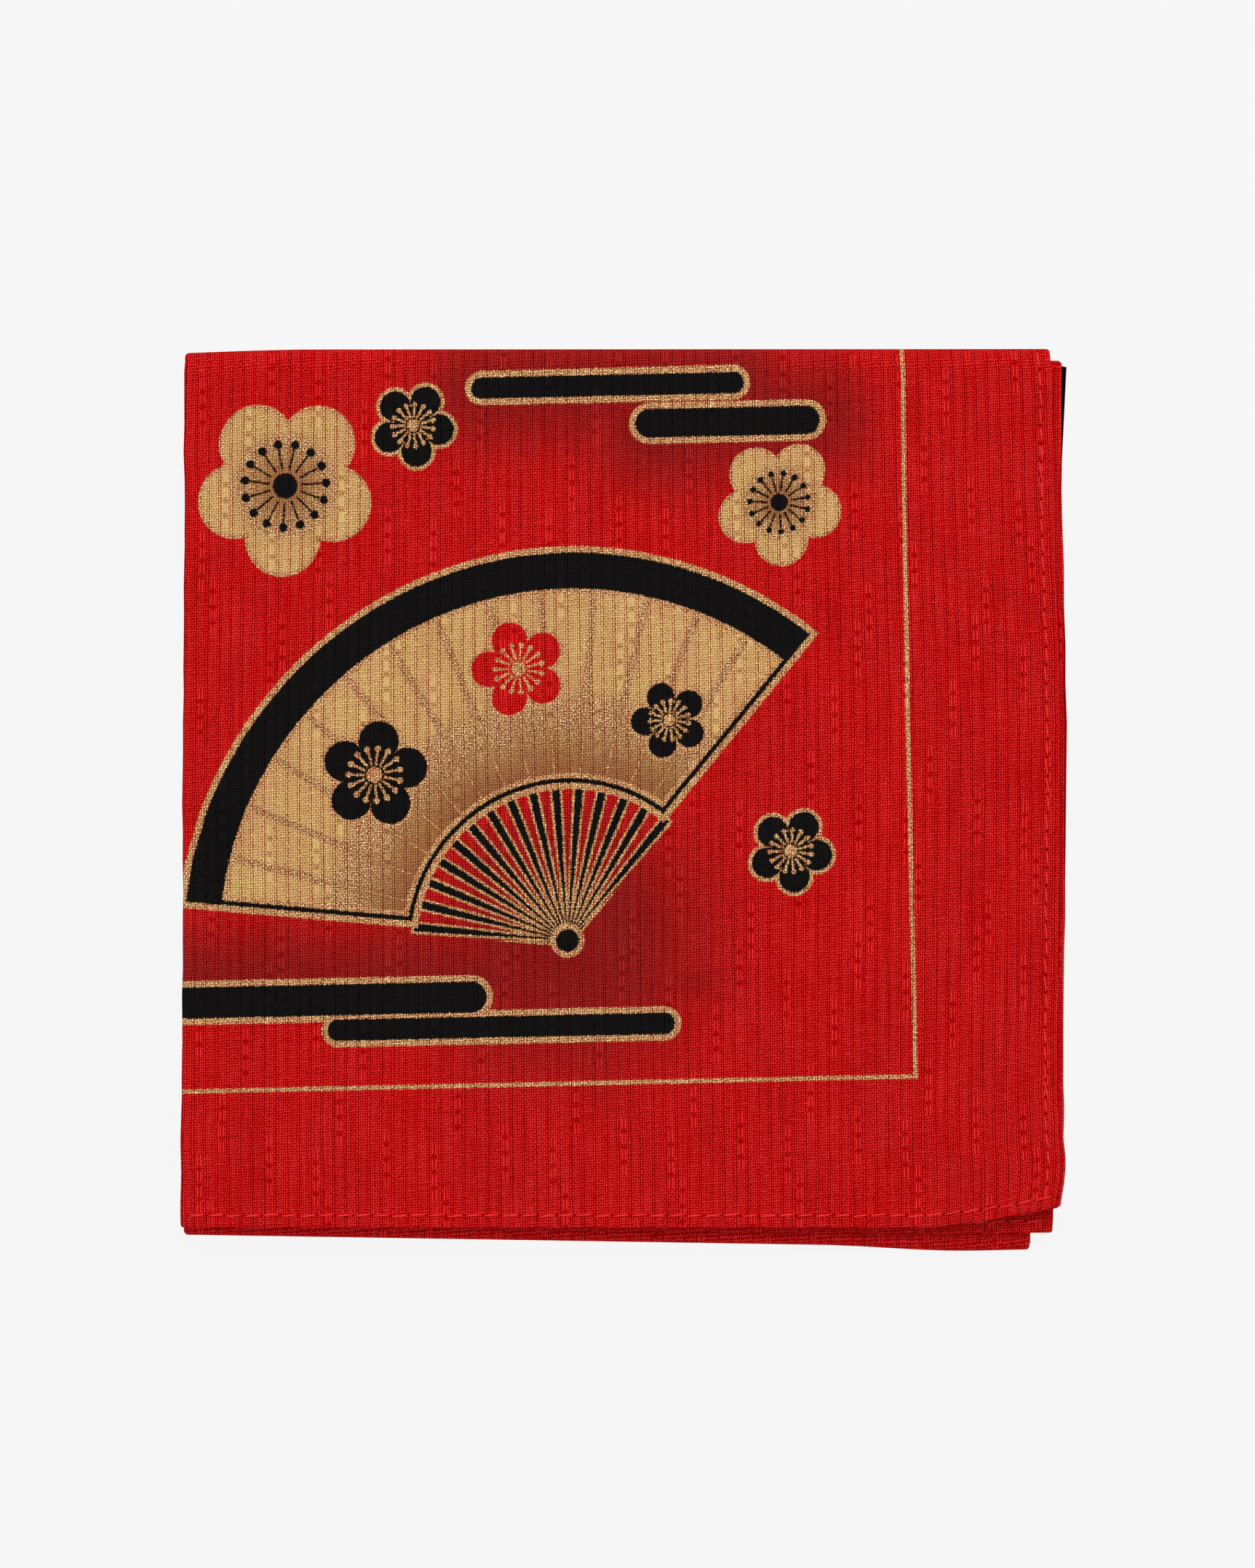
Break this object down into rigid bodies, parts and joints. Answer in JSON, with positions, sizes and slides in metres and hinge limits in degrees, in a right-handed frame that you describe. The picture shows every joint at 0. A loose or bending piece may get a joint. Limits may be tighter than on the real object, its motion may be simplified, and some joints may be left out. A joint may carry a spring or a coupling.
{
  "type": "furoshiki wrap",
  "caption": "Square cotton wrapping cloth with stitched hems, folded in half twice each way into a flat packet that lies on a surface.",
  "frame": {"origin": "the middle of the packet's outline, on the surface it rests on", "axes": "+Z out of the front face, +Y towards the head fold, +X towards the hemmed side edge"},
  "size_m": [0.1456, 0.1482, 0.0092],
  "materials": {
    "cotton": "matt slub-woven cotton, red ground, printed with black, dark red, tan and gold",
    "thread": "matt red sewing thread"
  },
  "bodies": {
    "root": {"cloth": "cotton"}
  },
  "joints": []
}
